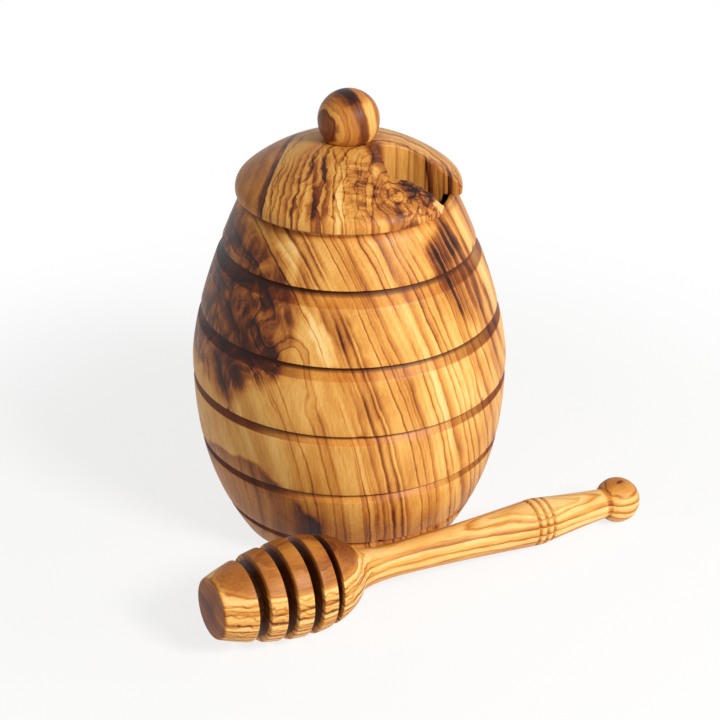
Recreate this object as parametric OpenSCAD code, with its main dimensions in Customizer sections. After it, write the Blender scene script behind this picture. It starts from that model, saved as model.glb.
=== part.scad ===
// Turned olive wood honey pot with a loose domed lid, a ball knob and a honey dipper.
// Millimetres, +Z up. The origin is the centre of the pot's base, on the pot's axis.
// The front is towards -Y, where the dipper lies on the table.

/* [Pot] */
// Height of the pot from its base to the mouth
pot_h = 114; // [100:1:130]
// Radius of the belly at its widest
belly_r = 50; // [46:0.5:54]
// Height of the widest place
belly_z = 58; // [50:1:64]
// Radius of the outline at the base
foot_r = 36; // [33:0.5:39]
// Radius of the outline at the mouth
mouth_r = 32.5; // [32.2:0.1:35]
// How full the lower half is, a larger power is fuller
foot_swell = 2.6; // [2:0.1:3]
// How full the upper half is, a larger power is fuller
neck_swell = 1.5; // [1.3:0.1:2]
// Wall thickness between the belly and the hollow
wall_t = 9; // [7:0.5:11]
// Thickness of the floor
floor_t = 10; // [8:0.5:14]
// Radius of the straight bore in the neck, which the lid's spigot drops into
neck_bore_r = 30.6; // [30:0.1:30.8]
// Rounding where the hollow meets the floor
hollow_round = 12; // [6:1:16]

/* [Bands] */
// Number of grooves cut round the pot
groove_count = 5; // [3:1:5]
// Height of the lowest groove's upper lip
first_groove_z = 11.8; // [9:0.1:14]
// Height from one groove to the next
groove_pitch = 21.6; // [20:0.1:22]
// Depth of a groove, square to the pot's axis
groove_depth = 2.6; // [1.5:0.1:3]
// Length of the soft shoulder at the top of each band
shoulder = 1.8; // [0.6:0.1:2.4]

/* [Lid] */
// Radius of the lid's rim
lid_r = 34.8; // [33.8:0.1:36]
// Height of the rim's upright side above the mouth
rim_t = 3; // [2.6:0.1:4]
// Height of the dome above the rim, to its uncut crown
dome_rise = 14.6; // [10:0.1:18]
// Rounding of the rim's upper edge
rim_round = 1.6; // [0.5:0.1:1.7]
// Radius of the spigot under the rim
spigot_r = 29; // [27:0.1:29.6]
// Depth of the spigot below the rim
spigot_h = 4.5; // [3:0.1:8]
// Amount the spigot narrows towards its lower end
spigot_taper = 0.9; // [0.3:0.1:2]

/* [Slot in the lid] */
// Width of the slot for the dipper's handle
slot_w = 15; // [12:0.5:17]
// Corner radius at the inner ends of the two cuts that make the slot
slot_corner = 1.5; // [0.5:0.1:3]
// Direction of the cut that runs out to the rim, measured from +X towards +Y
run_turn = -11; // [-14:1:-8]
// Sideways place of that cut's middle line
run_side = -6.4; // [-6.8:0.1:-6]
// Distance from the lid's axis to where that cut starts
run_from = 15.5; // [15:0.1:16]
// Direction of the cut at the slot's inner end, which lies askew
inner_turn = 18; // [15:1:21]
// Sideways place of the inner cut's middle line
inner_side = -14.9; // [-15.3:0.1:-14.5]
// Distance from the lid's axis to where the inner cut starts
inner_from = 5.8; // [5.4:0.1:7]
// Length of the inner cut
inner_l = 9.2; // [8.8:0.1:9.4]

/* [Knob] */
// Radius of the ball
knob_r = 9.4; // [8:0.1:11]
// Radius of the flat that the ball sits on
knob_flat_r = 7.2; // [5:0.1:8]
// Height of the flat above the mouth
knob_seat = 16.4; // [16:0.1:17]
// Radius of the glued dowel inside the ball and the lid
dowel_r = 3; // [2:0.1:4]
// Length of the dowel, half of it in each piece
dowel_l = 17; // [10:1:20]

/* [Dipper head] */
// Radius of the head at its widest
head_r = 15; // [12:0.5:16]
// Distance from the tip to the widest place
head_widest = 29; // [24:1:32]
// Radius of the flat tip
tip_r = 9.2; // [7:0.1:11]
// Length of the head
head_l = 49; // [44:1:54]
// Radius of the core between the discs
core_r = 7.5; // [6:0.1:9]
// Length of the tip section
tip_l = 10; // [8:0.5:12]
// Length of a disc
disc_l = 5; // [4:0.1:6]
// Width of a honey groove
honey_groove = 3.3; // [2.5:0.1:3.6]
// Width of the last honey groove, in front of the rear dome
rear_groove = 2.3; // [2:0.1:3]
// Number of discs between the tip section and the rear dome
disc_count = 3; // [2:1:3]
// Chamfer on the discs' edges
disc_edge = 0.5; // [0.2:0.1:1]

/* [Dipper handle] */
// Distance from the tip to the ball's middle
ball_s = 147.6; // [135:0.1:160]
// Radius of the ball at the end
ball_r = 7.4; // [6:0.1:9]
// Radius of the neck behind the head
neck_r = 5.1; // [4.5:0.1:6]
// Radius of the swelling in the grip
grip_r = 7.6; // [6.5:0.1:8]
// Distance from the tip to the middle of the swelling
grip_s = 115; // [105:1:125]
// Radius of the handle where it meets the ball
collar_r = 4.8; // [4:0.1:6]
// Number of fine rings cut round the swelling
ring_count = 3; // [1:1:5]
// Distance from one ring to the next
ring_pitch = 2.8; // [2:0.1:4]
// Depth of a ring
ring_depth = 0.7; // [0.3:0.1:1]

/* [Dipper on the table] */
// Place of the tip along X
tip_x = -40; // [-60:0.1:-20]
// Place of the tip along Y
tip_y = -83.6; // [-110:0.1:-83]
// Turn of the dipper from +X towards +Y
dipper_turn = 29.8; // [10:0.1:32]

/* [Hidden] */
$fn = 96;

// Steps along the pot's outline in one band, and along a round stretch
band_steps = 7;
round_steps = 5;
// Rounding of the pot's bottom edge and of the two edges of its lip
foot_round = 1.6;
lip_round = 0.7;
// Rounding of the rim's lower edge and of the spigot's lower edge
rim_under = 0.8;
spigot_round = 1.2;
// Powers of the dome's outline across and up
dome_across = 1.86;
dome_up = 0.88;
// Length of the rear half of the head, from its widest place to where the curve would close
head_rear = 21.8;
// Powers of the grip's outline in front of and behind the swelling
grip_front = 1.5;
grip_behind = 1.2;
// Distance from the tip to where the neck is thinnest
neck_s = 62;
// Half width of a fine ring
ring_half = 0.7;
// Overlap of a cutting solid past the solid that it cuts
past = 1;

seat_z = pot_h + knob_seat;
crown_z = pot_h + rim_t;
knob_z = seat_z + sqrt(knob_r * knob_r - knob_flat_r * knob_flat_r);

// A quadratic curve between two points, bent towards a third
function bend(a, c, b, steps = round_steps) =
    [for (i = [0:steps]) let (t = i / steps)
        (1 - t) * (1 - t) * a + 2 * t * (1 - t) * c + t * t * b];

// Radius of the pot's outline at height z, before the grooves are cut
function belly(z) = z < belly_z
    ? belly_r - (belly_r - foot_r) * pow((belly_z - z) / belly_z, foot_swell)
    : belly_r - (belly_r - mouth_r) * pow((z - belly_z) / (pot_h - belly_z), neck_swell);

// Height of the upper lip of groove i, and of the shoulder below it,
// where a slope of 45 degrees from the groove's bottom meets the outline
function lip_z(i) = first_groove_z + i * groove_pitch;
function outline_slope(z) = (belly(z - 2) - belly(z)) / 2;
function shoulder_z(i) = lip_z(i) - groove_depth / (1 - outline_slope(lip_z(i)));

// One groove, from the shoulder of the band below it to the sharp lip of the band above
function groove(i) = let (
        zl = lip_z(i),
        zs = shoulder_z(i),
        corner = [belly(zs), zs],
        below = [belly(zs - shoulder), zs - shoulder],
        slope = [corner[0] - shoulder * 0.5, zs + shoulder * 0.5])
    concat(bend(below, corner, slope), [[belly(zl) - groove_depth, zl], [belly(zl), zl]]);

// The plain stretch of the outline between two heights
function stretch(z0, z1) =
    [for (k = [1:band_steps - 1]) let (z = z0 + (z1 - z0) * k / band_steps) [belly(z), z]];

function band_bottom(i) = i == 0 ? foot_round : lip_z(i - 1);
function band_top(i) = i == groove_count ? pot_h - 2 * lip_round : shoulder_z(i) - shoulder;

outer = concat(
    [[0, 0]],
    bend([foot_r - foot_round, 0], [foot_r + 0.2, 0], [belly(foot_round), foot_round]),
    [for (i = [0:groove_count]) each concat(
        stretch(band_bottom(i), band_top(i)),
        i < groove_count ? groove(i) : [])]);

// The hollow follows the outline one wall inside it, and runs straight up through the neck
function hollow(z) = max(neck_bore_r, belly(z) - wall_t);
hollow_z = floor_t + hollow_round;
inner = concat(
    bend([mouth_r, pot_h - 2 * lip_round], [mouth_r, pot_h], [mouth_r - lip_round, pot_h], 3),
    bend([neck_bore_r + lip_round, pot_h], [neck_bore_r, pot_h], [neck_bore_r, pot_h - lip_round], 3),
    [for (z = [96:-6:hollow_z]) [hollow(z), z]],
    bend([hollow(hollow_z), hollow_z], [hollow(floor_t), floor_t],
        [hollow(floor_t) - hollow_round, floor_t]),
    [[0, floor_t]]);

module pot_body() {
    color("#cf8f42")
        rotate_extrude() polygon(concat(outer, inner));
}

// Height of the dome above the rim at radius r
function dome(r) = dome_rise * pow(1 - pow(r / lid_r, dome_across), dome_up);

rim_edge_r = lid_r - rim_round;
lid_outline = concat(
    [[0, pot_h - spigot_h]],
    bend([spigot_r - spigot_taper - spigot_round, pot_h - spigot_h],
        [spigot_r - spigot_taper, pot_h - spigot_h],
        [spigot_r - spigot_taper + 0.3, pot_h - spigot_h + spigot_round]),
    [[spigot_r, pot_h]],
    bend([lid_r - rim_under, pot_h], [lid_r, pot_h], [lid_r, pot_h + rim_under], 3),
    bend([lid_r, crown_z - rim_round], [lid_r, crown_z + 0.2], [rim_edge_r, crown_z + dome(rim_edge_r)]),
    [for (r = [rim_edge_r - 1.6:-1.6:knob_flat_r + 1.8]) [r, min(crown_z + dome(r), seat_z)]],
    [[knob_flat_r + 0.9, seat_z], [0, seat_z]]);

// The slot is two straight cuts of one width, the inner one askew. A cut has a square inner end with
// rounded corners. Half of that end runs from the cut's side to its middle, on the side 1 or -1.
function half_end(side) = [for (a = [0:22.5:90])
    [slot_corner * (1 - sin(a)), side * (slot_w / 2 - slot_corner * (1 - cos(a)))]];
near_half = half_end(-1);
module straight_cut(turn, start, middle, length) {
    rotate(turn) translate([start, middle])
        polygon(concat(
            [[length, slot_w / 2]],
            half_end(1),
            [for (k = [len(near_half) - 1:-1:0]) near_half[k]],
            [[length, -slot_w / 2]]));
}
module slot_plan() {
    straight_cut(run_turn, run_from, run_side, lid_r);
    straight_cut(inner_turn, inner_from, inner_side, inner_l);
}

module lid() {
    color("#c47f3a")
        difference() {
            rotate_extrude() polygon(lid_outline);
            translate([0, 0, pot_h - spigot_h - past])
                linear_extrude(spigot_h + rim_t + dome_rise + 2 * past) slot_plan();
            translate([0, 0, seat_z - dowel_l / 2]) cylinder(h = dowel_l, r = dowel_r);
        }
}

// A ball with a flat underneath, bored for the dowel
module knob() {
    color("#b06f30")
        difference() {
            translate([0, 0, knob_z]) sphere(knob_r);
            translate([0, 0, seat_z - knob_r]) cylinder(h = knob_r, r = 2 * knob_r);
            translate([0, 0, seat_z - past]) cylinder(h = dowel_l / 2 + past, r = dowel_r);
        }
}

module knob_dowel() {
    color("#e3c48d")
        translate([0, 0, seat_z - dowel_l / 2]) cylinder(h = dowel_l, r = dowel_r);
}

// Radius of the head's outline at distance s from the tip: a swelling front half and a round rear half
function head(s) = s < head_widest
    ? head_r - (head_r - tip_r) * pow((head_widest - s) / head_widest, 2)
    : head_r * sqrt(1 - pow((s - head_widest) / head_rear, 2));

// One section of the head and the honey groove behind it, from its front edge to the groove's end
function section_of_head(s0, s1, front, rear, gap) = concat(
    [[head(s0) - front, s0], [head(s0 + front), s0 + front]],
    [[head((s0 + s1) / 2), (s0 + s1) / 2]],
    [[head(s1 - rear), s1 - rear], [head(s1) - rear, s1]],
    [[core_r, s1], [core_r, s1 + gap]]);
function disc_s(i) = tip_l + honey_groove + i * (disc_l + honey_groove);

dome_s = disc_s(disc_count) - honey_groove + rear_groove;
head_outline = concat(
    [[0, 0]],
    section_of_head(0, tip_l, disc_edge, 2 * disc_edge, honey_groove),
    [for (i = [0:disc_count - 1]) each section_of_head(disc_s(i), disc_s(i) + disc_l, disc_edge, disc_edge,
        i == disc_count - 1 ? rear_groove : honey_groove)],
    [[head(dome_s) - disc_edge, dome_s], [head(dome_s + disc_edge), dome_s + disc_edge]],
    [for (s = [dome_s + 2:1.6:head_l - 1.5]) [head(s), s]]);

// Radius of the handle's outline at distance s from the tip
function grip(s) = s < grip_s
    ? neck_r + (grip_r - neck_r) * pow((s - neck_s) / (grip_s - neck_s), grip_front)
    : collar_r + (grip_r - collar_r) * pow((collar_s - s) / (collar_s - grip_s), grip_behind);

// The handle meets the ball where the ball's outline is as thick as the collar
collar_s = ball_s - sqrt(ball_r * ball_r - collar_r * collar_r);
rings_from = grip_s - (ring_count - 1) * ring_pitch / 2;
rings_to = grip_s + (ring_count - 1) * ring_pitch / 2;

handle_outline = concat(
    bend([head(head_l - 1), head_l - 1], [neck_r + 0.2, head_l + 1], [neck_r, neck_s]),
    [for (k = [1:8]) let (s = neck_s + (rings_from - ring_half - neck_s) * k / 8) [grip(s), s]],
    [for (i = [0:ring_count - 1]) let (s = rings_from + i * ring_pitch) each [
        [grip(s - ring_half), s - ring_half],
        [grip(s) - ring_depth, s],
        [grip(s + ring_half), s + ring_half]]],
    [for (k = [1:6]) let (s = rings_to + ring_half + (collar_s - rings_to - ring_half) * k / 6)
        [grip(s), s]]);

collar_angle = acos((ball_s - collar_s) / ball_r);
ball_outline = [for (k = [0:16]) let (a = collar_angle + (180 - collar_angle) * k / 16)
    [ball_r * sin(a), ball_s - ball_r * cos(a)]];

// The dipper's axis falls from the thick head to the thin ball, and both touch the table.
// At a fall of f degrees the head reaches this far below its axis at the widest place.
function head_reach(f) = sqrt(pow(head_rear * sin(f), 2) + pow(head_r * cos(f), 2));
level_fall = asin((head_r - ball_r) / (ball_s - head_widest));
dipper_fall = asin((head_reach(level_fall) - ball_r) / (ball_s - head_widest));
tip_z = ball_r + ball_s * sin(dipper_fall);

module dipper() {
    color("#dba35a")
        translate([tip_x, tip_y, tip_z]) rotate([0, 90 + dipper_fall, dipper_turn])
            rotate_extrude() polygon(concat(head_outline, handle_outline, ball_outline));
}

pot_body();
lid();
knob();
knob_dowel();
dipper();
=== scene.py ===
import math

import bmesh
import bpy
from mathutils import Matrix, Vector, noise
from mathutils.geometry import intersect_line_line_2d


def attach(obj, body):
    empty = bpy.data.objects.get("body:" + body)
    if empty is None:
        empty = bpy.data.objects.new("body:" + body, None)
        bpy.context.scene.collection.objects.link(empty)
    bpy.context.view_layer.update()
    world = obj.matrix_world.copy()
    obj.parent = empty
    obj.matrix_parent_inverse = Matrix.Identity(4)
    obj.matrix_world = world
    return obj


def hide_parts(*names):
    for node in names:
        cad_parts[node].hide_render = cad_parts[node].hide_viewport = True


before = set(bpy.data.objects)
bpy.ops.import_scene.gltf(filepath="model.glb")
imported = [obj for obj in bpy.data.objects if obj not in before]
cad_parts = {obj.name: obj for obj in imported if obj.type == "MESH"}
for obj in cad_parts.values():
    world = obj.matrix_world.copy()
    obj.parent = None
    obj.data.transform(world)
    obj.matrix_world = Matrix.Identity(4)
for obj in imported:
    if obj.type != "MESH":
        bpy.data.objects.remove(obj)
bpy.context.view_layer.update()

# Turned olive wood honey pot, with a loose domed lid, a ball knob and a honey dipper.
# Sizes are in millimetres until a mesh is finished, and then one transform turns them to metres.
MM = 0.001
# Steps of a full turn on the lathe
POT_STEPS = 288
LID_STEPS = 240
SMALL_STEPS = 128
# Points closer than this are one point, first on a turned piece and then on one that has been cut
TURNED_MERGE = 0.0005
CUT_MERGE = 0.003


# Small helpers

def smooth_step(low, high, value):
    """0 below low, 1 above high, and a smooth rise between them."""
    t = min(1.0, max(0.0, (value - low) / (high - low)))
    return t * t * (3 - 2 * t)


def bend(start, control, end, steps=8):
    """Points along a quadratic curve from start to end, drawn towards control."""
    points = []
    for i in range(steps + 1):
        t = i / steps
        points.append(tuple(
            (1 - t) ** 2 * a + 2 * t * (1 - t) * c + t * t * b for a, c, b in zip(start, control, end)))
    return points


def turn_on_lathe(outline, steps):
    """A bmesh of the outline, a list of (radius, height), turned all the way round the Z axis."""
    bm = bmesh.new()
    line = [bm.verts.new((radius, 0, height)) for radius, height in outline]
    edges = [bm.edges.new(pair) for pair in zip(line, line[1:])]
    bmesh.ops.spin(bm, geom=line + edges, cent=(0, 0, 0), axis=(0, 0, 1), angle=2 * math.pi,
                   steps=steps, use_merge=True, use_duplicate=False)
    bmesh.ops.remove_doubles(bm, verts=bm.verts, dist=TURNED_MERGE)
    bmesh.ops.recalc_face_normals(bm, faces=bm.faces)
    return bm


def point_value(bm, name, rule):
    """Stores rule(position) on every vertex, for a material to read by that name."""
    layer = bm.verts.layers.float.new(name)
    for vert in bm.verts:
        vert[layer] = rule(vert.co)


def piece_from(bm, name, body, node, material, sharp_angle=40):
    """Makes an object of the bmesh, in metres, that stands for the CAD node and rides on its body."""
    bm.transform(Matrix.Scale(MM, 4))
    mesh = bpy.data.meshes.new(name)
    bm.to_mesh(mesh)
    bm.free()
    mesh.shade_smooth()
    mesh.set_sharp_from_angle(angle=math.radians(sharp_angle))
    mesh.materials.append(material)
    made = bpy.data.objects.new(name, mesh)
    bpy.context.scene.collection.objects.link(made)
    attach(made, body)
    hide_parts(node)
    return made


# Pot outline, from the same values as the CAD

POT_H = 114
BELLY_R = 50
BELLY_Z = 58
FOOT_R = 36
MOUTH_R = 32.5
FOOT_SWELL = 2.6
NECK_SWELL = 1.5
WALL_T = 9
FLOOR_T = 10
NECK_BORE_R = 30.6
HOLLOW_ROUND = 12
# Where the hollow's points start below the straight bore, and how far apart they are
HOLLOW_TOP = 98
HOLLOW_STEP = 4
GROOVE_COUNT = 5
FIRST_GROOVE_Z = 11.8
GROOVE_PITCH = 21.6
GROOVE_DEPTH = 2.6
FOOT_ROUND = 1.6
LIP_ROUND = 0.7
# Rounding of the sharp upper lip of a groove, and of its inner corner
GROOVE_LIP = 0.25
# How far the crisp lower edge of a groove lies below the middle of the shoulder
EDGE_DROP = 0.8
EDGE_ROUND = 0.3
# Chips on a lip: the height that they take, their size, their spacing and how much of the lip has them
CHIP_BAND = 0.4
CHIP_SIZE = 1.0
CHIP_SPACING = 2.2
CHIP_SHARE = 0.62


def belly(z):
    """Radius of the pot's outline at height z, before the grooves."""
    if z < BELLY_Z:
        return BELLY_R - (BELLY_R - FOOT_R) * ((BELLY_Z - z) / BELLY_Z) ** FOOT_SWELL
    return BELLY_R - (BELLY_R - MOUTH_R) * ((z - BELLY_Z) / (POT_H - BELLY_Z)) ** NECK_SWELL


def lip_z(i):
    """Height of the upper lip of a groove, counted from the foot."""
    return FIRST_GROOVE_Z + i * GROOVE_PITCH


def shoulder_z(i):
    """Height where the groove's 45 degree slope would meet the outline."""
    slope = (belly(lip_z(i) - 2) - belly(lip_z(i))) / 2
    return lip_z(i) - GROOVE_DEPTH / (1 - slope)


def groove(i):
    """One groove: a crisp edge, a slope down into the wood, and a flat shelf out to the lip above."""
    z_lip = lip_z(i)
    z_edge = shoulder_z(i) - EDGE_DROP
    r_lip = belly(z_lip)
    edge = (belly(z_edge), z_edge)
    bottom = (r_lip - GROOVE_DEPTH, z_lip)

    def on_slope(share):
        return tuple(a + (b - a) * share for a, b in zip(edge, bottom))

    z_below = z_edge - EDGE_ROUND
    z_above = z_lip + GROOVE_LIP
    return (bend((belly(z_below), z_below), edge, on_slope(0.08), 3)
            + [on_slope(k / 10) for k in range(1, 10)]
            + bend(on_slope(0.94), bottom, (bottom[0] + GROOVE_LIP, z_lip), 3)
            + bend((r_lip - GROOVE_LIP, z_lip), (r_lip, z_lip), (belly(z_above), z_above), 3))


def stretch(z0, z1, steps):
    """Points of the outline between two heights, without its ends."""
    return [(belly(z), z) for z in (z0 + (z1 - z0) * k / steps for k in range(1, steps))]


def pot_outline():
    points = [(0, 0)] + bend((FOOT_R - FOOT_ROUND, 0), (FOOT_R + 0.2, 0), (belly(FOOT_ROUND), FOOT_ROUND), 5)
    for i in range(GROOVE_COUNT + 1):
        z0 = FOOT_ROUND if i == 0 else lip_z(i - 1) + GROOVE_LIP
        z1 = POT_H - 2 * LIP_ROUND if i == GROOVE_COUNT else shoulder_z(i) - EDGE_DROP - EDGE_ROUND
        points += stretch(z0, z1, 9)
        if i < GROOVE_COUNT:
            points += groove(i)
    points += bend((MOUTH_R, POT_H - 2 * LIP_ROUND), (MOUTH_R, POT_H), (MOUTH_R - LIP_ROUND, POT_H), 4)
    points += bend((NECK_BORE_R + LIP_ROUND, POT_H), (NECK_BORE_R, POT_H),
                   (NECK_BORE_R, POT_H - LIP_ROUND), 4)
    floor_z = FLOOR_T + HOLLOW_ROUND

    def hollow(z):
        return max(NECK_BORE_R, belly(z) - WALL_T)

    points += [(hollow(z), z) for z in range(HOLLOW_TOP, floor_z, -HOLLOW_STEP)]
    floor_r = hollow(FLOOR_T)
    points += bend((hollow(floor_z), floor_z), (floor_r, FLOOR_T), (floor_r - HOLLOW_ROUND, FLOOR_T), 6)
    return points + [(0, FLOOR_T)]


def nick(position, size, spacing, share):
    """Size of a small chip at this place on an edge: 0 on most of it."""
    value = noise.noise(Vector(position) / spacing)
    return size * max(0.0, value - (1 - share))


def make_pot(material):
    bm = turn_on_lathe(pot_outline(), POT_STEPS)
    lips = [lip_z(i) for i in range(GROOVE_COUNT)]
    for vert in bm.verts:
        radius = math.hypot(vert.co.x, vert.co.y)
        if radius < NECK_BORE_R + 1:
            continue
        for z in lips:
            if 0 <= vert.co.z - z < CHIP_BAND and belly(z) - radius < CHIP_BAND:
                chip = nick((vert.co.x, vert.co.y, z), CHIP_SIZE, CHIP_SPACING, CHIP_SHARE)
                vert.co.z += chip * 0.7
                vert.co.xy *= 1 - chip / radius

    def recess(p):
        """0 outside, 0.45 on the cut slope of a groove and 1 at its bottom."""
        depth = belly(p.z) - math.hypot(p.x, p.y)
        return 0.45 * smooth_step(0.02, 0.2, depth) + 0.55 * smooth_step(1.2, 1.8, depth)

    # The recess value gives the groove slopes their amber and the groove bottoms painted shade with dirt
    point_value(bm, "recess", recess)
    return piece_from(bm, "pot_body_turned", "pot", "pot_body", material, 35)


# Lid

LID_R = 34.8
RIM_T = 3
DOME_RISE = 14.6
DOME_ACROSS = 1.86
DOME_UP = 0.88
RIM_ROUND = 1.6
RIM_UNDER = 0.8
SPIGOT_R = 29
SPIGOT_H = 4.5
SPIGOT_TAPER = 0.9
SPIGOT_ROUND = 1.2
KNOB_SEAT = 16.4
KNOB_R = 9.4
KNOB_FLAT_R = 7.2
DOWEL_R = 3
DOWEL_L = 17
SLOT_W = 15
SLOT_CORNER = 1.5
SLOT_PAST_RIM = 6
# Distance between the points of the slot's wall
WALL_SPACING = 0.4
RUN_TURN = math.radians(-11)
RUN_SIDE = -6.4
INNER_TURN = math.radians(18)
INNER_SIDE = -14.9
INNER_FROM = 5.8
SEAT_Z = POT_H + KNOB_SEAT
KNOB_MIDDLE_Z = 136.5
CROWN_Z = POT_H + RIM_T


def dome_z(radius):
    """Height of the lid's top at this radius."""
    inside = max(0.0, 1 - (min(radius, LID_R) / LID_R) ** DOME_ACROSS)
    return min(SEAT_Z, CROWN_Z + DOME_RISE * inside ** DOME_UP)


def lid_outline():
    rim_edge = LID_R - RIM_ROUND
    low = SPIGOT_R - SPIGOT_TAPER
    bottom = POT_H - SPIGOT_H
    points = [(0, bottom)]
    points += bend((low - SPIGOT_ROUND, bottom), (low, bottom), (low + 0.3, bottom + SPIGOT_ROUND), 5)
    points += [(SPIGOT_R, POT_H), (SPIGOT_R + 1.5, POT_H)]
    points += bend((LID_R - RIM_UNDER, POT_H), (LID_R, POT_H), (LID_R, POT_H + RIM_UNDER), 5)
    points += bend((LID_R, CROWN_Z - RIM_ROUND), (LID_R, CROWN_Z + 0.2), (rim_edge, dome_z(rim_edge)), 7)
    steps = 34
    points += [(r, dome_z(r)) for r in (rim_edge - (rim_edge - 8) * k / steps for k in range(1, steps + 1))]
    points += [(DOWEL_R, SEAT_Z), (DOWEL_R, SEAT_Z - DOWEL_L / 2), (0, SEAT_Z - DOWEL_L / 2)]
    return points


def along(turn, forward, side):
    """Plan position this far forward and to the side, in a direction from the lid's axis."""
    return Vector((forward * math.cos(turn) - side * math.sin(turn),
                   forward * math.sin(turn) + side * math.cos(turn)))


def slot_side(half, end):
    """One long side of the slot: the rim's end, where its two cuts meet, and its corner at the inner end."""
    rim = along(RUN_TURN, end, RUN_SIDE + half)
    corner = along(INNER_TURN, INNER_FROM, INNER_SIDE + half)
    meeting = intersect_line_line_2d(rim, along(RUN_TURN, 0, RUN_SIDE + half),
                                     corner, along(INNER_TURN, end, INNER_SIDE + half))
    return [rim, meeting, corner]


def slot_wall():
    """Plan of the slot's wall from the far side of the rim, round the inner end, to the near side."""
    end = LID_R + SLOT_PAST_RIM
    corners = slot_side(SLOT_W / 2, end) + slot_side(-SLOT_W / 2, end)[::-1]
    rounding = (0, 2.5, SLOT_CORNER, SLOT_CORNER, 0.6, 0)
    wall = [corners[0]]
    for before, corner, after, radius in zip(corners, corners[1:], corners[2:], rounding[1:]):
        start = corner + (before - corner).normalized() * radius
        finish = corner + (after - corner).normalized() * radius
        count = math.ceil((start - wall[-1]).length / WALL_SPACING)
        wall += [wall[-1].lerp(start, k / count) for k in range(1, count)]
        wall += [Vector(point) for point in bend(start, corner, finish, 6)]
    count = math.ceil((corners[-1] - wall[-1]).length / WALL_SPACING)
    return wall + [wall[-1].lerp(corners[-1], k / count) for k in range(1, count + 1)]


def slot_flare(place, out, depth):
    """How far the slot's wall stands back here, at this depth below the dome: a broken, chipped edge."""
    radius = place.length
    far_side = smooth_step(0.2, 0.8, out.y)
    near_side = smooth_step(-0.2, -0.9, out.y)
    edge = 0.22 * max(0.0, 1 - depth / 0.3) ** 2
    rough = noise.noise(Vector((place.x * 1.3, place.y * 1.3, depth * 0.8)))
    torn = far_side * smooth_step(19, 27, radius) * max(0.0, rough + 0.2) * 1.1 * max(0.0, 1 - depth / 0.9)
    split = noise.noise(Vector((place.x * 1.1, place.y * 1.1, depth * 1.4 + 9)))
    corner = near_side * smooth_step(31, 34.5, radius) * (0.9 + 1.2 * split)
    far_corner = far_side * smooth_step(33, 34.8, radius) * (0.5 + 0.8 * split)
    return edge + torn + max(0.0, corner) + max(0.0, far_corner)


def make_slot_cutter():
    """The solid that the slot takes out of the lid, with walls that flare and chip near the dome."""
    bm = bmesh.new()
    order = bm.verts.layers.int.new("order")
    wall = slot_wall()
    for k, place in enumerate(wall):
        vert = bm.verts.new((place.x, place.y, 0))
        vert[order] = k
    floor = bm.faces.new(bm.verts)
    rows = [list(floor.verts)]
    edges = list(floor.edges)
    depths = (7, 3, 1.8, 1.2, 0.85, 0.6, 0.4, 0.25, 0.12, 0, -0.8)
    for _ in range(len(depths) + 1):
        made = bmesh.ops.extrude_edge_only(bm, edges=edges)["geom"]
        edges = [part for part in made if isinstance(part, bmesh.types.BMEdge)]
        rows.append([part for part in made if isinstance(part, bmesh.types.BMVert)])
    bmesh.ops.contextual_create(bm, geom=edges)
    for row, verts in enumerate(rows):
        for vert in verts:
            k = vert[order]
            place = wall[k]
            depth = depths[min(max(row - 1, 0), len(depths) - 1)]
            ahead = wall[min(k + 1, len(wall) - 1)] - wall[max(k - 1, 0)]
            out = Vector((ahead.y, -ahead.x)).normalized()
            place = place + out * slot_flare(place, out, depth)
            vert.co.xy = place
            vert.co.z = dome_z(place.length) - depth
            if row == 0:
                vert.co.z = POT_H - SPIGOT_H - 1
            if row == len(rows) - 1:
                vert.co.z = SEAT_Z + 2
    bmesh.ops.recalc_face_normals(bm, faces=bm.faces)
    return bm


def loose_object(bm, name):
    """A plain object of the bmesh, to cut or to cut with."""
    mesh = bpy.data.meshes.new(name)
    bm.to_mesh(mesh)
    bm.free()
    made = bpy.data.objects.new(name, mesh)
    bpy.context.scene.collection.objects.link(made)
    return made


def cut_away(bm, cutter_bm):
    """The bmesh with the cutter's solid taken out of it."""
    body = loose_object(bm, "cut_body")
    cutter = loose_object(cutter_bm, "cut_tool")
    cut = body.modifiers.new("cut", "BOOLEAN")
    cut.object = cutter
    cut.operation = "DIFFERENCE"
    cut.solver = "EXACT"
    result = bmesh.new()
    result.from_object(body, bpy.context.evaluated_depsgraph_get())
    for made in (body, cutter):
        mesh = made.data
        bpy.data.objects.remove(made)
        bpy.data.meshes.remove(mesh)
    return result


def make_lid(material):
    bm = cut_away(turn_on_lathe(lid_outline(), LID_STEPS), make_slot_cutter())
    bmesh.ops.remove_doubles(bm, verts=bm.verts, dist=CUT_MERGE)
    return piece_from(bm, "lid_turned", "lid", "lid", material, 35)


# Knob

def knob_outline():
    centre = SEAT_Z + math.sqrt(KNOB_R ** 2 - KNOB_FLAT_R ** 2)
    start = math.asin(KNOB_FLAT_R / KNOB_R)
    bore_top = SEAT_Z + DOWEL_L / 2
    points = [(0, bore_top), (DOWEL_R, bore_top), (DOWEL_R, SEAT_Z), (KNOB_FLAT_R - 0.3, SEAT_Z)]
    steps = 56
    for k in range(steps + 1):
        a = start + 0.03 + (math.pi - start - 0.03) * k / steps
        points.append((KNOB_R * math.sin(a), centre - KNOB_R * math.cos(a)))
    return points


def make_knob(material):
    bm = turn_on_lathe(knob_outline(), SMALL_STEPS)
    return piece_from(bm, "knob_turned", "lid", "knob", material)


# Dipper

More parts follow.
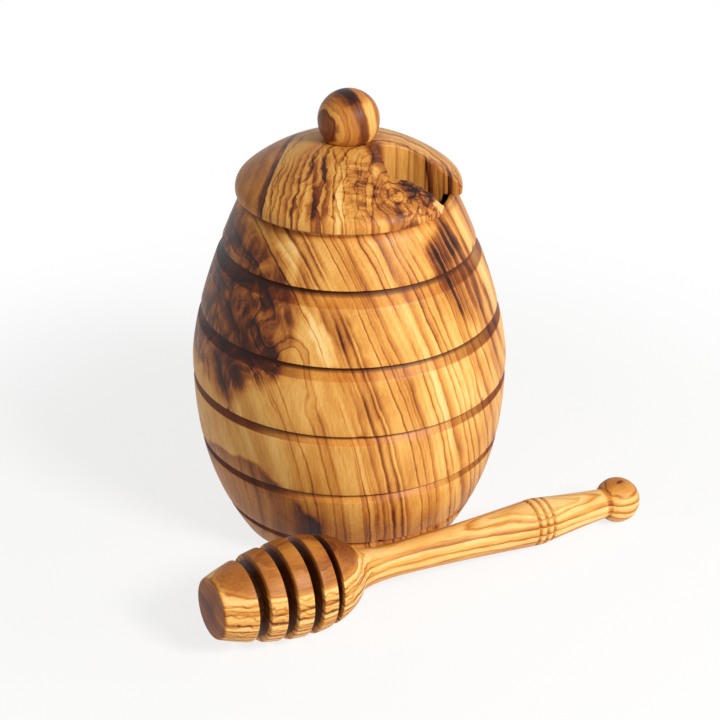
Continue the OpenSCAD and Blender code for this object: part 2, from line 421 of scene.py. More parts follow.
HEAD_R = 15
HEAD_WIDEST = 29
TIP_R = 9.2
HEAD_L = 49
HEAD_REAR = 21.8
CORE_R = 7.5
CORE_CORNER = 0.3
TIP_L = 10
DISC_L = 5
HONEY_GROOVE = 3.3
REAR_GROOVE = 2.3
DISC_COUNT = 3
DISC_EDGE = 0.5
BALL_S = 147.6
BALL_R = 7.4
NECK_R = 5.1
NECK_S = 62
GRIP_R = 7.6
GRIP_S = 115
GRIP_FRONT = 1.5
GRIP_BEHIND = 1.2
COLLAR_R = 4.8
RING_COUNT = 3
RING_PITCH = 2.8
RING_DEPTH = 0.7
RING_HALF = 0.7
TIP_X = -40
TIP_Y = -83.6
DIPPER_TURN = math.radians(29.8)
COLLAR_S = BALL_S - math.sqrt(BALL_R ** 2 - COLLAR_R ** 2)
LEVEL_FALL = math.asin((HEAD_R - BALL_R) / (BALL_S - HEAD_WIDEST))
HEAD_REACH = math.hypot(HEAD_REAR * math.sin(LEVEL_FALL), HEAD_R * math.cos(LEVEL_FALL))
DIPPER_FALL = math.asin((HEAD_REACH - BALL_R) / (BALL_S - HEAD_WIDEST))
TIP_Z = BALL_R + BALL_S * math.sin(DIPPER_FALL)
# Turns the dipper's own axis, +Z from its tip to its ball, to where it lies on the table
DIPPER_PLACE = (Matrix.Translation((TIP_X, TIP_Y, TIP_Z)) @ Matrix.Rotation(DIPPER_TURN, 4, "Z")
                @ Matrix.Rotation(math.pi / 2 + DIPPER_FALL, 4, "Y"))


def head(s):
    """Radius of the dipper's head at distance s from its tip."""
    if s < HEAD_WIDEST:
        return HEAD_R - (HEAD_R - TIP_R) * ((HEAD_WIDEST - s) / HEAD_WIDEST) ** 2
    return HEAD_R * math.sqrt(max(0, 1 - ((s - HEAD_WIDEST) / HEAD_REAR) ** 2))


def grip(s):
    """Radius of the dipper's handle at distance s from its tip."""
    if s < GRIP_S:
        return NECK_R + (GRIP_R - NECK_R) * ((s - NECK_S) / (GRIP_S - NECK_S)) ** GRIP_FRONT
    return COLLAR_R + (GRIP_R - COLLAR_R) * max(0, (COLLAR_S - s) / (COLLAR_S - GRIP_S)) ** GRIP_BEHIND


def rounded_section(s0, s1, front, rear):
    """The outside of one section of the head, with rounded edges."""
    points = bend((head(s0) - front, s0), (head(s0), s0), (head(s0 + front), s0 + front), 4)
    points += [(head(s), s) for s in (s0 + front + (s1 - rear - s0 - front) * k / 6 for k in range(1, 6))]
    return points + bend((head(s1 - rear), s1 - rear), (head(s1), s1), (head(s1) - rear, s1), 4)


def dipper_outline():
    points = [(0, 0)] + rounded_section(0, TIP_L, DISC_EDGE, 2 * DISC_EDGE)
    s = TIP_L
    for i in range(DISC_COUNT + 1):
        gap = REAR_GROOVE if i == DISC_COUNT else HONEY_GROOVE
        points += [(head(s) - 1, s), (head(s) - 2, s)]
        points += bend((CORE_R + CORE_CORNER, s), (CORE_R, s), (CORE_R, s + CORE_CORNER), 3)
        points += bend((CORE_R, s + gap - CORE_CORNER), (CORE_R, s + gap), (CORE_R + CORE_CORNER, s + gap), 3)
        s += gap
        points += [(head(s) - 2, s), (head(s) - 1, s)]
        if i < DISC_COUNT:
            points += rounded_section(s, s + DISC_L, DISC_EDGE, DISC_EDGE)
            s += DISC_L
    points += bend((head(s) - DISC_EDGE, s), (head(s), s), (head(s + DISC_EDGE), s + DISC_EDGE), 4)
    rear_end = HEAD_L - 1
    points += [(head(t), t) for t in (s + 1 + (rear_end - s - 1) * k / 14 for k in range(14))]
    points += bend((head(rear_end), rear_end), (NECK_R + 0.2, HEAD_L + 1), (NECK_R, NECK_S), 12)
    rings_from = GRIP_S - (RING_COUNT - 1) * RING_PITCH / 2 - RING_HALF
    points += [(grip(t), t) for t in (NECK_S + (rings_from - NECK_S) * k / 24 for k in range(1, 25))]
    for i in range(RING_COUNT):
        t = rings_from + RING_HALF + i * RING_PITCH
        points += bend((grip(t - RING_HALF), t - RING_HALF), (grip(t) - 1.6 * RING_DEPTH, t),
                       (grip(t + RING_HALF), t + RING_HALF), 6)
    rings_to = rings_from + (RING_COUNT - 1) * RING_PITCH + 2 * RING_HALF
    points += [(grip(t), t) for t in (rings_to + (COLLAR_S - rings_to) * k / 16 for k in range(1, 17))]
    start = math.acos((BALL_S - COLLAR_S) / BALL_R)
    for k in range(1, 41):
        a = start + (math.pi - start) * k / 40
        points.append((BALL_R * math.sin(a), BALL_S - BALL_R * math.cos(a)))
    return points


def dipper_recess(p):
    """How deep this is in a groove of the head or a ring of the handle: 0 outside, 1 at a groove's bottom."""
    radius = math.hypot(p.x, p.y)
    if p.z < HEAD_L - 8:
        return smooth_step(0.6, 2, head(p.z) - radius)
    if abs(p.z - GRIP_S) < 5:
        return 0.7 * smooth_step(0.1, 0.5, grip(p.z) - radius)
    return 0


def make_dipper(material):
    bm = turn_on_lathe(dipper_outline(), SMALL_STEPS)
    # The recess value darkens the honey grooves and handle rings nearly to black: painted shade with dirt
    point_value(bm, "recess", dipper_recess)
    bm.transform(DIPPER_PLACE)
    return piece_from(bm, "dipper_turned", "dipper", "dipper", material, 50)


# Materials

def linear(hex_colour):
    """An sRGB hex colour as linear RGBA."""
    channels = [int(hex_colour[i:i + 2], 16) / 255 for i in (1, 3, 5)]
    return [c / 12.92 if c <= 0.04045 else ((c + 0.055) / 1.055) ** 2.4 for c in channels] + [1]


def add(tree, kind, inputs=(), **settings):
    """Adds a node with its settings. An input is a value, or a socket or a node's first output to link."""
    made = tree.nodes.new("ShaderNode" + kind)
    for name, value in settings.items():
        setattr(made, name, value)
    for key, value in dict(inputs).items():
        if isinstance(value, bpy.types.Node):
            value = value.outputs[0]
        if isinstance(value, bpy.types.NodeSocket):
            tree.links.new(value, made.inputs[key])
        else:
            made.inputs[key].default_value = value
    return made


def set_stops(ramp, stops):
    """Fills a colour ramp with its (place from 0 to 1, grey level or colour) stops."""
    def colour(value):
        return value if isinstance(value, list) else (value, value, value, 1)

    elements = ramp.color_ramp.elements
    for element, (place, value) in zip((elements[0], elements[1]), (stops[0], stops[-1])):
        element.position = place
        element.color = colour(value)
    for place, value in stops[1:-1]:
        elements.new(place).color = colour(value)


def new_tree(name):
    material = bpy.data.materials.new(name)
    material.use_nodes = True
    material.node_tree.nodes.clear()
    return material, material.node_tree


def wood_position(tree, origin=(0, 0, 0), turn=(0, 0, 0)):
    """Position in millimetres from a point of the wood, with the piece's own axes turned by these angles."""
    place = add(tree, "TexCoord")
    return add(tree, "Mapping", {"Vector": place.outputs["Object"], "Location": [MM * c for c in origin],
                                 "Rotation": turn, "Scale": (MM, MM, MM)}, vector_type="TEXTURE")


def grain(tree, position, size, detail=2.0, twist=0.0):
    """Noise from 0 to 1 whose features have this size in millimetres along X, Y and Z."""
    shrunk = add(tree, "VectorMath", {0: position, 1: size}, operation="DIVIDE")
    return add(tree, "TexNoise", {"Vector": shrunk, "Scale": 1.0, "Detail": detail, "Distortion": twist})


def torn(tree, position, size, reach):
    """The position moved about by noise, so that what is placed by it gets an uneven edge."""
    wave = grain(tree, position, size).outputs["Color"]
    centred = add(tree, "VectorMath", {0: wave, 1: (0.5, 0.5, 0.5)}, operation="SUBTRACT")
    return add(tree, "VectorMath", {0: centred, 1: (reach, reach, reach), 2: position},
               operation="MULTIPLY_ADD")


def growth(tree, position, across, bow=0.0, middle=0.0):
    """Millimetres across the growth layers, from their direction and how much they bow along Z."""
    lean = add(tree, "VectorMath", {0: position, 1: across}, operation="DOT_PRODUCT").outputs["Value"]
    height = add(tree, "SeparateXYZ", {0: position}).outputs["Z"]
    off = add(tree, "Math", {0: height, 1: middle}, operation="SUBTRACT")
    square = add(tree, "Math", {0: off, 1: off}, operation="MULTIPLY")
    return add(tree, "Math", {0: square, 1: bow, 2: lean}, operation="MULTIPLY_ADD")


def wander(tree, age, position, swings):
    """Bends the growth layers: each swing is (size of its waves, millimetres that it may move a layer)."""
    for size, reach in swings:
        wave = grain(tree, position, size)
        centred = add(tree, "Math", {0: wave, 1: 0.5}, operation="SUBTRACT")
        age = add(tree, "Math", {0: centred, 1: reach, 2: age}, operation="MULTIPLY_ADD")
    return age


def late_wood(tree, age, spacing, seed, depth):
    """Dark lines about this far apart. Each is crisp on one side and fades on the other, as in late wood."""
    slow = add(tree, "Math", {0: age, 1: 0.3 / spacing, 2: seed}, operation="MULTIPLY_ADD")
    drift = add(tree, "TexNoise", {"W": slow, "Scale": 1.0, "Detail": 1.0}, noise_dimensions="1D")
    uneven = add(tree, "Math", {0: drift, 1: 2.5, 2: seed}, operation="MULTIPLY_ADD")
    count = add(tree, "Math", {0: age, 1: 1 / spacing, 2: uneven}, operation="MULTIPLY_ADD")
    number = add(tree, "Math", {0: count}, operation="FLOOR")
    chance = add(tree, "TexWhiteNoise", {"W": number}, noise_dimensions="1D")
    dice = add(tree, "SeparateColor", {"Color": chance.outputs["Color"]})
    part = add(tree, "Math", {0: count}, operation="FRACT")
    width = add(tree, "Math", {0: dice.outputs["Green"], 1: 0.6, 2: 0.15}, operation="MULTIPLY_ADD")
    fade = add(tree, "MapRange", {"Value": part, "From Max": width, "To Min": depth, "To Max": 0})
    rise = add(tree, "MapRange", {"Value": part, "From Max": 0.06})
    line = add(tree, "Math", {0: fade, 1: rise}, operation="MULTIPLY")
    return add(tree, "Math", {0: line, 1: dice.outputs["Red"]}, operation="MULTIPLY")


def marked_lines(tree, age, start, end, lines):
    """The boldest growth lines between two ages. Each is (place, width that it fades over, depth)."""
    crisp = 0.3

    def level(at):
        return max([0] + [depth * (1 - (at - place) / width) for place, width, depth in lines
                          if place <= at < place + width])

    marks = sorted({mark for place, width, _ in lines for mark in (place - crisp, place, place + width)})
    share = add(tree, "MapRange", {"Value": age, "From Min": start, "From Max": end})
    ramp = add(tree, "ValToRGB", {"Fac": share})
    set_stops(ramp, [((mark - start) / (end - start), level(mark)) for mark in [start] + marks + [end]])
    return ramp


def stain(tree, place, centre, radii, depth, turn=(0, 0, 0), soft=0.5, rim=None):
    """A patch of the wood. Its edge fades over the share soft of its radii, and may have a rim of another
    depth, as the edge of heartwood does."""
    local = add(tree, "Mapping", {"Vector": place, "Location": centre, "Rotation": turn, "Scale": radii},
                vector_type="TEXTURE")
    away = add(tree, "VectorMath", {0: local}, operation="LENGTH").outputs["Value"]
    if rim is None:
        return add(tree, "MapRange", {"Value": away, "From Min": 1.0, "From Max": 1 - soft, "To Max": depth},
                   interpolation_type="SMOOTHSTEP")
    ramp = add(tree, "ValToRGB", {"Fac": away})
    set_stops(ramp, [(0, depth), (1 - soft, depth), (0.94, rim), (1, 0)])
    return ramp


def veins(tree, position, size, width, depth):
    """Thin dark lines that wind and close on themselves, as the layers of a burr do round its many buds."""
    level = grain(tree, position, size, 2.0, 0.5)
    centred = add(tree, "Math", {0: level, 1: 0.5}, operation="SUBTRACT")
    off = add(tree, "Math", {0: centred}, operation="ABSOLUTE")
    return add(tree, "MapRange", {"Value": off, "From Max": width, "To Min": depth, "To Max": 0})


def masked(tree, amount, position, size, low, high):
    """The amount, but only where a slow noise is high, so that no figure runs on for ever."""
    where = add(tree, "MapRange", {"Value": grain(tree, position, size), "From Min": low, "From Max": high})
    return add(tree, "Math", {0: amount, 1: where}, operation="MULTIPLY")


def mixed_tone(tree, base, lighter, darker):
    """One tone from 0, near black, to 1, palest: the base with all that lightens and all that darkens it.
    An amount may be a tuple, of a figure and of the factors that limit it."""
    tone = base
    for operation, amounts in (("ADD", lighter), ("SUBTRACT", darker)):
        for amount in amounts:
            if isinstance(amount, tuple):
                amount, *factors = amount
                for factor in factors:
                    amount = add(tree, "Math", {0: amount, 1: factor}, operation="MULTIPLY")
            tone = add(tree, "Math", {0: tone, 1: amount}, operation=operation)
    return tone


def fine_figure(tree, age, position, strength=1.0):
    """What all the pieces share: broad and narrow bands of tone and short fibres. It centres on 0."""
    tone = 0.0
    bands = add(tree, "Math", {0: age, 1: 0.2}, operation="MULTIPLY")
    threads = add(tree, "Math", {0: age, 1: 0.8}, operation="MULTIPLY")
    for source, amount in (
            (add(tree, "TexNoise", {"W": bands, "Scale": 1.0, "Detail": 1.0}, noise_dimensions="1D"), 0.42),
            (add(tree, "TexNoise", {"W": threads, "Scale": 1.0, "Detail": 2.0}, noise_dimensions="1D"), 0.2),
            (grain(tree, position, (10, 10, 26)), 0.4),
            (grain(tree, position, (0.5, 0.5, 6)), 0.2),
            (grain(tree, position, (0.25, 0.25, 2)), 0.16)):
        centred = add(tree, "Math", {0: source, 1: 0.5}, operation="SUBTRACT")
        tone = add(tree, "Math", {0: centred, 1: amount * strength, 2: tone}, operation="MULTIPLY_ADD")
    return tone


# Olive wood from its nearly black lines to its palest sapwood
OLIVE_TONES = ((0.0, "#210A03"), (0.12, "#451C0A"), (0.25, "#6C3414"), (0.38, "#915021"), (0.5, "#B06B2C"),
               (0.62, "#C88339"), (0.75, "#DC9D4B"), (0.88, "#EBB665"), (1.0, "#F6CC88"))
# What a soaked cut and painted side shade multiply the wood by; painted shade with dirt; freshly torn wood
SOAKED = "#F2DEC2"
PAINTED_SIDE_SHADE = "#84583C"
SHADE_AND_DIRT = "#451A06"
TORN_WOOD = "#EBC27C"


def oiled_wood(tree, tone, position, fresh=None, side_groove_shade=None):
    """Finishes a material as sanded and oiled wood. The cut sides of grooves soak up more oil, so they are
    amber. Where side_groove_shade is given they also get a painted brown shade, and their bottoms get a
    dark red-brown that is painted shade under the lips together with dirt. The oil leaves a satin gloss on
    the standing fibres."""
    ramp = add(tree, "ValToRGB", {"Fac": tone})
    set_stops(ramp, [(place, linear(colour)) for place, colour in OLIVE_TONES])
    recess = add(tree, "Attribute", attribute_name="recess").outputs["Fac"]
    soaked = add(tree, "MapRange", {"Value": recess, "From Max": 0.4})
    # Painted shade under the lips, together with dirt, darkens the bottoms of grooves
    shade_and_dirt = add(tree, "MapRange", {"Value": recess, "From Min": 0.5, "To Max": 0.88})
    coats = [(soaked, SOAKED, "MULTIPLY"), (shade_and_dirt, SHADE_AND_DIRT, "MIX")]
    # Painted shade: a brown over the groove slopes where the side mask is given
    if side_groove_shade:
        side_shade_share = add(tree, "Math", {0: soaked, 1: side_groove_shade}, operation="MULTIPLY")
        coats.insert(1, (side_shade_share, PAINTED_SIDE_SHADE, "MULTIPLY"))
    if fresh:
        coats.append((fresh, TORN_WOOD, "MIX"))
    colour = ramp
    for share, coat, blend in coats:
        colour = add(tree, "Mix", {"Factor": share, 6: colour, 7: linear(coat)}, data_type="RGBA",
                     blend_type=blend).outputs[2]
    fibres = grain(tree, position, (0.3, 0.3, 5))
    bump = add(tree, "Bump", {"Height": fibres, "Distance": 0.00004, "Strength": 1.0})
    rough = add(tree, "MapRange", {"Value": grain(tree, position, (3, 3, 8)), "To Min": 0.34, "To Max": 0.52})
    shader = add(tree, "BsdfPrincipled", {"Base Color": colour, "Roughness": rough, "IOR": 1.45,
                                          "Specular IOR Level": 0.25, "Normal": bump})
    add(tree, "OutputMaterial", {"Surface": shader})


def pot_olive_wood():
    """The pot is one block of olive wood, so its layers run right through it. They lean and bow a little.
    The eye sees gold with brown lines, dark heartwood at the upper left and a brown wedge at the right."""
    material, tree = new_tree("pot_oiled_olive_wood")
    position = wood_position(tree)
    uneven = torn(tree, position, (12, 12, 16), 13)
    layers = growth(tree, position, (1, 0.2, 0.3), 0.0021, 60)
    age = wander(tree, layers, position, (((45, 45, 75), 5), ((14, 14, 36), 3.5), ((3.5, 3.5, 12), 0.9),
                                          ((0.9, 0.9, 4), 0.25)))
    for knot in (stain(tree, uneven, (-26, -38, 82), (11, 16, 12), 9, soft=1.0),
                 stain(tree, uneven, (-32, -28, 95), (9, 14, 9), -7, soft=1.0),
                 stain(tree, uneven, (-14, -42, 76), (7, 14, 14), -6, soft=1.0)):
        age = add(tree, "Math", {0: age, 1: knot}, operation="ADD")
    lines = (
        marked_lines(tree, age, -30, 4, (
            (-12.4, 1.2, 0.3), (-9.4, 0.6, 0.3), (-4, 1, 0.25), (-0.8, 2, 0.2))),
        marked_lines(tree, age, 4, 34, (
            (7.5, 0.6, 0.5), (9.5, 0.5, 0.25), (12.2, 2, 0.25), (15.2, 1.2, 0.45), (18.3, 0.7, 0.35),
            (19.6, 1.2, 0.3), (24.4, 0.6, 0.45), (27.1, 0.5, 0.3), (30.2, 1.6, 0.35))),
        marked_lines(tree, age, 34, 62, (
            (35.5, 0.6, 0.35), (37.4, 0.5, 0.3), (40, 1.8, 0.35), (43.8, 0.6, 0.35), (46, 0.5, 0.3),
            (48.2, 1, 0.4), (52.3, 0.6, 0.35), (54.8, 1.4, 0.35), (58, 0.6, 0.4))),
        marked_lines(tree, age, 62, 92, (
            (62.5, 1, 0.35), (66, 1.2, 0.35), (71, 1.5, 0.25), (75, 1, 0.25), (79, 2, 0.25))),
    )
    bold = masked(tree, mixed_tone(tree, lines[0], lines[1:], ()), position, (9, 9, 34), 0.28, 0.5)
    rings = masked(tree, late_wood(tree, age, 5.4, 3.7, 0.38), position, (12, 12, 40), 0.42, 0.6)
    threads = masked(tree, late_wood(tree, age, 1.8, 8.2, 0.28), position, (8, 8, 30), 0.48, 0.66)
    plain = stain(tree, uneven, (-38, -37, 46), (17, 28, 12), 0.85, soft=0.4)
    clear = add(tree, "Math", {0: 1.0, 1: plain}, operation="SUBTRACT")
    heart = stain(tree, uneven, (-43, -30, 88), (31, 70, 30), 1.0, soft=0.22)
    smoke = add(tree, "MapRange", {"Value": grain(tree, position, (8, 8, 13), 3.0, 1.4), "From Min": 0.34,
                                   "From Max": 0.58, "To Min": 0.2, "To Max": 0.6})
    wedge = add(tree, "Math", {0: stain(tree, uneven, (33, -24, 96), (7.5, 16, 22), 0.4, (0, -0.43, 0)),
                               1: stain(tree, uneven, (30, -22, 107), (7, 10, 8), 0.2)}, operation="ADD")
    across = add(tree, "Math", {0: age, 1: 0.7}, operation="MULTIPLY")
    uneven_lines = add(tree, "TexNoise", {"W": across, "Scale": 1.0, "Detail": 2.0}, noise_dimensions="1D")
    streaks = add(tree, "MapRange", {"Value": uneven_lines, "From Min": 0.35, "From Max": 0.6, "To Min": 0.4})
    darker = [
        (mixed_tone(tree, bold, (rings, threads), ()), clear),
        (heart, smoke),
        stain(tree, uneven, (-36, -38, 14), (28, 40, 27), 0.2, soft=0.35, rim=0.38),
        stain(tree, uneven, (-14, -44, 18), (11, 14, 15), 0.2, soft=0.7),
        (wedge, streaks),
        stain(tree, uneven, (-3, -43, 88), (5, 9, 13), 0.2, (0, -0.3, 0)),
        stain(tree, uneven, (6, -48, 69), (6, 10, 12), 0.12),
        # Darker at the front of the foot: painted shade, and darker wood
        stain(tree, uneven, (0, -46, 12), (50, 50, 22), 0.13, soft=1.0),
    ]
    lighter = [
        fine_figure(tree, age, position),
        stain(tree, uneven, (-18.5, -32, 104), (6.5, 11, 7), 0.24),
        stain(tree, uneven, (-7.5, -43, 84), (3.4, 9, 15), 0.22, (0, -0.35, 0)),
        stain(tree, uneven, (32, -35, 60), (30, 45, 48), 0.1, soft=1.0),
    ]
    # Painted shade: the groove slopes go brown towards the pot's left and right sides
    side = add(tree, "SeparateXYZ", {0: position}).outputs["X"]
    centred = add(tree, "Math", {0: side, 1: 8.0}, operation="SUBTRACT")
    sideways = add(tree, "Math", {0: centred}, operation="ABSOLUTE")
    side_groove_shade = add(tree, "MapRange", {"Value": sideways, "From Min": 16.0, "From Max": 38.0, "To Max": 0.95})
    oiled_wood(tree, mixed_tone(tree, 0.76, lighter, darker), position, side_groove_shade=side_groove_shade)
    return material


def lid_olive_wood():
    """The lid is cut from a burr: its layers stand upright and curl round a knot at the front right.
    The eye sees red-brown heartwood at the left, then wavy lines, a flamed gold middle and a dark burr."""
    material, tree = new_tree("lid_oiled_olive_burr")
    position = wood_position(tree)
    uneven = torn(tree, position, (4, 4, 60), 4)
    straight = growth(tree, position, (-1, 0.28, 0))
    moved = add(tree, "VectorMath", {0: position, 1: (14, -24, 0)}, operation="SUBTRACT")
    flat = add(tree, "VectorMath", {0: moved, 1: (1, 0.75, 0)}, operation="MULTIPLY")
    curl = add(tree, "VectorMath", {0: flat}, operation="LENGTH").outputs["Value"]
    side = add(tree, "SeparateXYZ", {0: position}).outputs["X"]
    left = add(tree, "MapRange", {"Value": side, "From Min": -8.0, "From Max": -20.0},
               interpolation_type="SMOOTHSTEP")
    shifted = add(tree, "Math", {0: straight, 1: 16.0}, operation="ADD")
    layers = add(tree, "Mix", {"Factor": left, 2: curl, 3: shifted}, data_type="FLOAT")
    age = wander(tree, layers, position, (((16, 16, 60), 7), ((5.5, 5.5, 40), 4), ((1.6, 1.6, 20), 0.7)))
    burr = stain(tree, position, (19, -23, 118), (14, 12, 40), 1, soft=0.6)
    buds = add(tree, "Math", {0: veins(tree, position, (4.5, 3.5, 6), 0.09, 0.42),
                              1: veins(tree, position, (2.2, 1.8, 4), 0.07, 0.2)}, operation="MAXIMUM")
    upright = wander(tree, side, position, (((7, 7, 60), 5), ((2, 2, 40), 1.2)))
    depth = add(tree, "SeparateXYZ", {0: position}).outputs["Y"]
    front = add(tree, "MapRange", {"Value": depth, "From Min": -6.0, "From Max": -12.0})
    bold = marked_lines(tree, upright, -14, 14, (
        (-10.4, 2.4, 0.32), (-7.2, 1.8, 0.34), (-4.8, 1, 0.4), (-1.0, 0.5, 0.35), (2.6, 0.5, 0.2),
        (6.8, 1.2, 0.3)))
    flames = add(tree, "MapRange", {"Value": grain(tree, position, (5, 1.6, 30), 3.0, 0.6), "From Min": 0.42,
                                    "From Max": 0.68, "To Max": 0.3})
    middle = stain(tree, position, (3, -23, 118), (9, 15, 40), 1, soft=0.6)
    heart = add(tree, "MapRange", {"Value": straight, "From Min": 19.7, "From Max": 20.3})
    outside = add(tree, "MapRange", {"Value": heart, "To Min": 1.0, "To Max": 0.25})
    heart_edge = wander(tree, straight, position, (((5, 5, 30), 1.2),))
    border = marked_lines(tree, heart_edge, 10, 30, ((18.9, 2.4, 0.7),))
    calm = add(tree, "MapRange", {"Value": burr, "To Min": 1.0, "To Max": 0.6})
    crackle = veins(tree, position, (5, 2.5, 20), 0.05, 0.1)
    swung = wander(tree, straight, position, (((7, 7, 30), 4.5), ((2.4, 2.4, 20), 1)))
    waves = marked_lines(tree, swung, 4, 24, (
        (6.4, 1.2, 0.3), (8.6, 0.8, 0.4), (10.6, 1.5, 0.34), (13, 0.8, 0.42), (14.8, 1.4, 0.3),
        (16.8, 0.8, 0.34)))
    rings = masked(tree, late_wood(tree, age, 2.3, 4.1, 0.5), position, (9, 9, 60), 0.12, 0.34)
    threads = masked(tree, late_wood(tree, age, 1.1, 9.4, 0.3), position, (5, 5, 60), 0.4, 0.6)
    wall_lines = marked_lines(tree, upright, 8, 36, (
        (12, 0.8, 0.2), (14.5, 1.6, 0.22), (17.4, 0.8, 0.25), (19.4, 2.2, 0.2), (23, 0.8, 0.25),
        (24.6, 2.4, 0.16), (28.4, 0.8, 0.2), (30.5, 2, 0.15)))
    strip = stain(tree, position, (22, -3.5, 118), (16, 4, 20), 1, (0, 0, -0.19), 0.3)
    darker = [
        (bold, front),
        (waves, outside, front),
        (mixed_tone(tree, rings, (threads,), ()), outside, calm),
        (mixed_tone(tree, flames, (crackle,), ()), middle),
        (add(tree, "Math", {0: buds, 1: 0.12}, operation="ADD"), burr),
        stain(tree, uneven, (9, -10, 122), (5, 11, 20), 0.42, (0, 0, 0.31)),
        stain(tree, uneven, (20, -21, 121), (7, 5, 20), 0.34),
        stain(tree, uneven, (12, -30, 118), (8, 3.5, 20), 0.2),
        stain(tree, uneven, (-8, -22, 118), (4, 17, 20), 0.14),
        stain(tree, uneven, (28, -4, 118), (9, 4, 20), 0.2),
        # Darker round the knob's foot: painted shade under the knob, and darker wood
        stain(tree, uneven, (0, 0, 128), (15, 13, 12), 0.16),
        (heart, 0.26),
        (wall_lines, strip),
        border,
    ]
    lighter = [fine_figure(tree, age, position), stain(tree, uneven, (-2.6, -25, 118), (2, 13, 30), 0.2)]
    tone = mixed_tone(tree, 0.79, lighter, darker)
    splinters = torn(tree, position, (1.2, 1.2, 2.5), 2.6)
    fresh = stain(tree, splinters, (27.2, -21, 117.6), (2.4, 1.7, 3), 0.75, (0, 0, 0.4), 0.3)
    oiled_wood(tree, tone, position, fresh)
    return material


def knob_olive_wood():
    """The knob is turned from a dark stick, across its layers, so they show as rings round its left side.
    The eye sees a brown core, a yellow ring, brown stripes, a nearly black band and a yellow one."""
    material, tree = new_tree("knob_oiled_olive_wood")
    position = wood_position(tree, (0, 0, KNOB_MIDDLE_Z))
    layers = growth(tree, position, (0.8, 0.6, 0.05))
    age = wander(tree, layers, position, (((6, 6, 8), 2.6), ((2, 2, 5), 1)))
    share = add(tree, "MapRange", {"Value": age, "From Min": -KNOB_R, "From Max": KNOB_R})
    rings = add(tree, "ValToRGB", {"Fac": share})
    set_stops(rings, [((at + KNOB_R) / (2 * KNOB_R), tone) for at, tone in (
        (-9.4, 0.36), (-8.6, 0.3), (-8.3, 0.2), (-8.1, 0.5), (-7.9, 0.72), (-7.1, 0.76), (-6.8, 0.55),
        (-6.2, 0.6), (-5.6, 0.42), (-5.2, 0.58), (-4.2, 0.5), (-3.4, 0.56), (-2.8, 0.4), (-2.0, 0.3),
        (0.3, 0.34), (0.9, 0.6), (1.4, 0.78), (3.8, 0.8), (4.6, 0.5), (6.2, 0.42), (7.0, 0.6), (9.4, 0.45))])
    darker = [
        stain(tree, torn(tree, position, (5, 5, 5), 5), (1, -2, 9), (7, 7, 4), 0.25),
        masked(tree, late_wood(tree, age, 0.9, 2.3, 0.25), position, (5, 5, 9), 0.4, 0.6),
    ]
    tone = mixed_tone(tree, rings, [fine_figure(tree, age, position, 0.7)], darker)
    oiled_wood(tree, tone, position)
    return material


def dipper_olive_wood():
    """The dipper is turned along the fibres, so its lines run its whole length from head to ball.
    The eye sees brown above, pale sapwood below with thin wavy lines, and a dark patch at the tip."""
    material, tree = new_tree("dipper_oiled_olive_wood")
    place, turn, _ = DIPPER_PLACE.decompose()
    position = wood_position(tree, place, turn.to_euler())
    layers = growth(tree, position, (-1, -0.2, 0.01))
    age = wander(tree, layers, position, (((16, 16, 60), 3), ((5, 5, 22), 2.4), ((1.4, 1.4, 8), 0.5)))
    lines = marked_lines(tree, age, -12, 16, (
        (-9, 0.8, 0.3), (-5.5, 1.2, 0.3), (-3, 0.6, 0.35), (-0.5, 0.5, 0.3), (2, 0.6, 0.4),
        (4.6, 1.2, 0.45), (7, 0.5, 0.3), (9.2, 0.8, 0.45)))
    bold = masked(tree, lines, position, (7, 7, 50), 0.24, 0.44)
    upper = add(tree, "MapRange", {"Value": age, "From Min": 9.3, "From Max": 9.8, "To Max": 0.33})
    even = add(tree, "MapRange", {"Value": upper, "From Max": 0.33, "To Min": 1.0, "To Max": 0.3})
    tip = stain(tree, position, (0, 0, -2.4), (13, 13, 5), 1, soft=0.2)
    below = add(tree, "Math", {0: tip, 1: -0.85, 2: even}, operation="MULTIPLY_ADD")
    feathered = wander(tree, age, position, (((8, 8, 6), 5), ((2.6, 2.6, 2.6), 1.4)))
    feathers = marked_lines(tree, feathered, -12, 12, (
        (-9.4, 0.5, 0.3), (-7.2, 0.4, 0.35), (-5.4, 0.6, 0.3), (-3.6, 0.4, 0.35), (-1.7, 0.5, 0.35),
        (0.2, 0.4, 0.3), (2, 0.6, 0.35), (3.8, 0.4, 0.3), (5.6, 0.5, 0.35), (7.5, 0.6, 0.3)))
    on_head = stain(tree, position, (0, 0, 22), (40, 40, 34), 1, soft=0.2)
    rings = masked(tree, late_wood(tree, age, 1.9, 6.6, 0.45), position, (6, 6, 30), 0.38, 0.58)
    threads = masked(tree, late_wood(tree, age, 0.8, 1.9, 0.3), position, (4, 4, 30), 0.44, 0.62)
    darker = [
        (mixed_tone(tree, bold, (rings, threads), ()), below),
        (feathers, on_head, below),
        (tip, 0.48),
        stain(tree, torn(tree, position, (5, 5, 9), 6), (-12, 4, 42), (9, 14, 13), 0.22),
        stain(tree, torn(tree, position, (5, 5, 5), 4), (-6, 1, 149), (5, 10, 9), 0.34),
        stain(tree, position, (0, 0, 141.5), (9, 9, 1.6), 0.3),
        upper,
    ]
    tone = mixed_tone(tree, 0.88, [fine_figure(tree, age, position)], darker)
    oiled_wood(tree, tone, position)
    return material


def beech_dowel():
    """A plain beech dowel: pale and nearly even, with the short flecks that beech has."""
    material, tree = new_tree("dry_beech")
    position = wood_position(tree)
    flecks = grain(tree, position, (0.5, 0.5, 2.5))
    ramp = add(tree, "ValToRGB", {"Fac": flecks})
    set_stops(ramp, [(0.35, linear("#C9A16C")), (0.65, linear("#E2C396"))])
    shader = add(tree, "BsdfPrincipled", {"Base Color": ramp, "Roughness": 0.7})
    add(tree, "OutputMaterial", {"Surface": shader})
    return material


# Stage: a pale floor, soft light from the upper right and the front left, and the photographed view

# Half of the floor's side and where the lamps face, in metres, and the camera in millimetres
FLOOR_HALF = 3
LAMP_AIM = (0, 0, 0.06)
LENS = 93.29
CAMERA_EYE = (3.41, -526.14, 342.37)
CAMERA_AIM = (3.41, 0, 53.96)


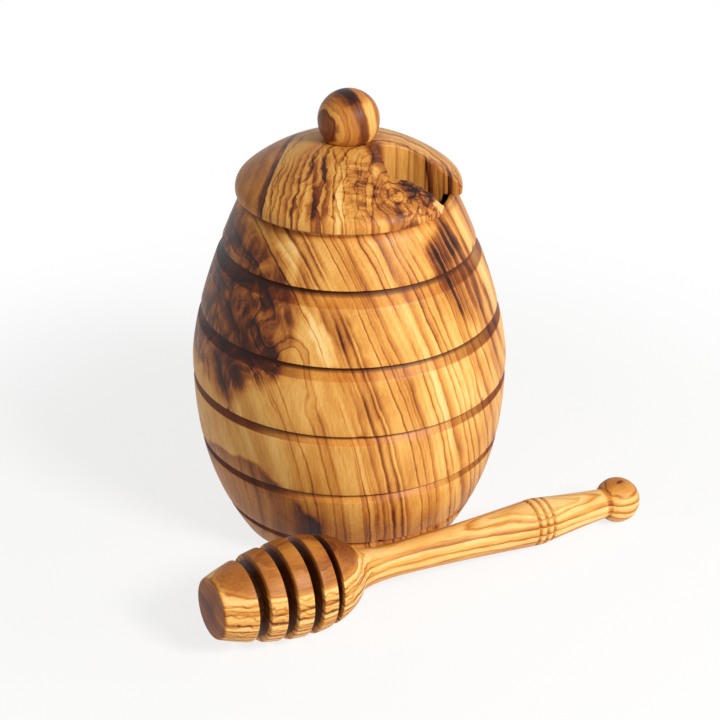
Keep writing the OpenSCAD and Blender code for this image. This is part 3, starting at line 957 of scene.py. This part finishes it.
def background_rays(tree):
    """1 for the rays that show the background itself: to the camera, in gloss and through glass."""
    rays = add(tree, "LightPath")
    seen = add(tree, "Math", {0: rays.outputs["Is Camera Ray"], 1: rays.outputs["Is Glossy Ray"]},
               operation="MAXIMUM")
    return add(tree, "Math", {0: seen, 1: rays.outputs["Is Transmission Ray"]}, operation="MAXIMUM")


def make_stage():
    """The floor is matte pale paper, and to the camera it goes over to plain white away from the object."""
    bm = bmesh.new()
    bmesh.ops.create_grid(bm, x_segments=1, y_segments=1, size=FLOOR_HALF)
    mesh = bpy.data.meshes.new("floor")
    bm.to_mesh(mesh)
    bm.free()
    floor = bpy.data.objects.new("floor", mesh)
    bpy.context.scene.collection.objects.link(floor)
    material, tree = new_tree("pale_paper_floor")
    matte = add(tree, "BsdfDiffuse", {"Color": linear("#F6F5F2")})
    glow = add(tree, "Emission", {"Color": linear("#FFFFFF"), "Strength": 1.0})
    place = add(tree, "TexCoord").outputs["Object"]
    away = add(tree, "VectorMath", {0: place}, operation="LENGTH").outputs["Value"]
    white = add(tree, "MapRange", {"Value": away, "From Min": 0.1, "From Max": 0.24, "To Min": 0.8,
                                   "To Max": 1.0}, interpolation_type="SMOOTHSTEP")
    share = add(tree, "Math", {0: background_rays(tree), 1: white}, operation="MULTIPLY")
    mixed = add(tree, "MixShader", {0: share, 1: matte, 2: glow})
    add(tree, "OutputMaterial", {"Surface": mixed})
    mesh.materials.append(material)


def make_world():
    """A weak, even fill of light, and a white background."""
    world = bpy.data.worlds.new("studio")
    bpy.context.scene.world = world
    world.use_nodes = True
    tree = world.node_tree
    tree.nodes.clear()
    fill = add(tree, "Background", {"Color": linear("#FFFDF8"), "Strength": 0.22})
    white = add(tree, "Background", {"Color": linear("#FFFFFF"), "Strength": 1.0})
    mixed = add(tree, "MixShader", {0: background_rays(tree), 1: fill, 2: white})
    add(tree, "OutputWorld", {"Surface": mixed})


def make_lamp(name, place, size, power):
    """A rectangular softbox that faces the pot."""
    lamp = bpy.data.lights.new(name, "AREA")
    lamp.shape = "RECTANGLE"
    lamp.size, lamp.size_y = size
    lamp.energy = power
    made = bpy.data.objects.new(name, lamp)
    bpy.context.scene.collection.objects.link(made)
    made.location = place
    made.rotation_euler = (Vector(LAMP_AIM) - Vector(place)).to_track_quat("-Z", "Y").to_euler()


def make_camera():
    """The photographed view: from the front, about 29 degrees above the table."""
    camera = bpy.data.cameras.new("camera")
    camera.sensor_width = 36
    camera.lens = LENS
    camera.clip_start = 0.01
    made = bpy.data.objects.new("camera", camera)
    bpy.context.scene.collection.objects.link(made)
    eye = Vector(CAMERA_EYE) * MM
    aim = Vector(CAMERA_AIM) * MM
    made.location = eye
    made.rotation_euler = (aim - eye).to_track_quat("-Z", "Y").to_euler()
    bpy.context.scene.camera = made


bpy.context.scene.view_settings.view_transform = "Standard"
make_stage()
make_world()
make_lamp("key_softbox", (0.58, -0.54, 0.6), (0.24, 0.24), 9)
make_lamp("front_fill", (-0.6, -0.8, 0.5), (0.9, 0.7), 1.3)
make_camera()
make_pot(pot_olive_wood())
make_lid(lid_olive_wood())
make_knob(knob_olive_wood())
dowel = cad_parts["knob_dowel"]
dowel.data.materials.clear()
dowel.data.materials.append(beech_dowel())
make_dipper(dipper_olive_wood())
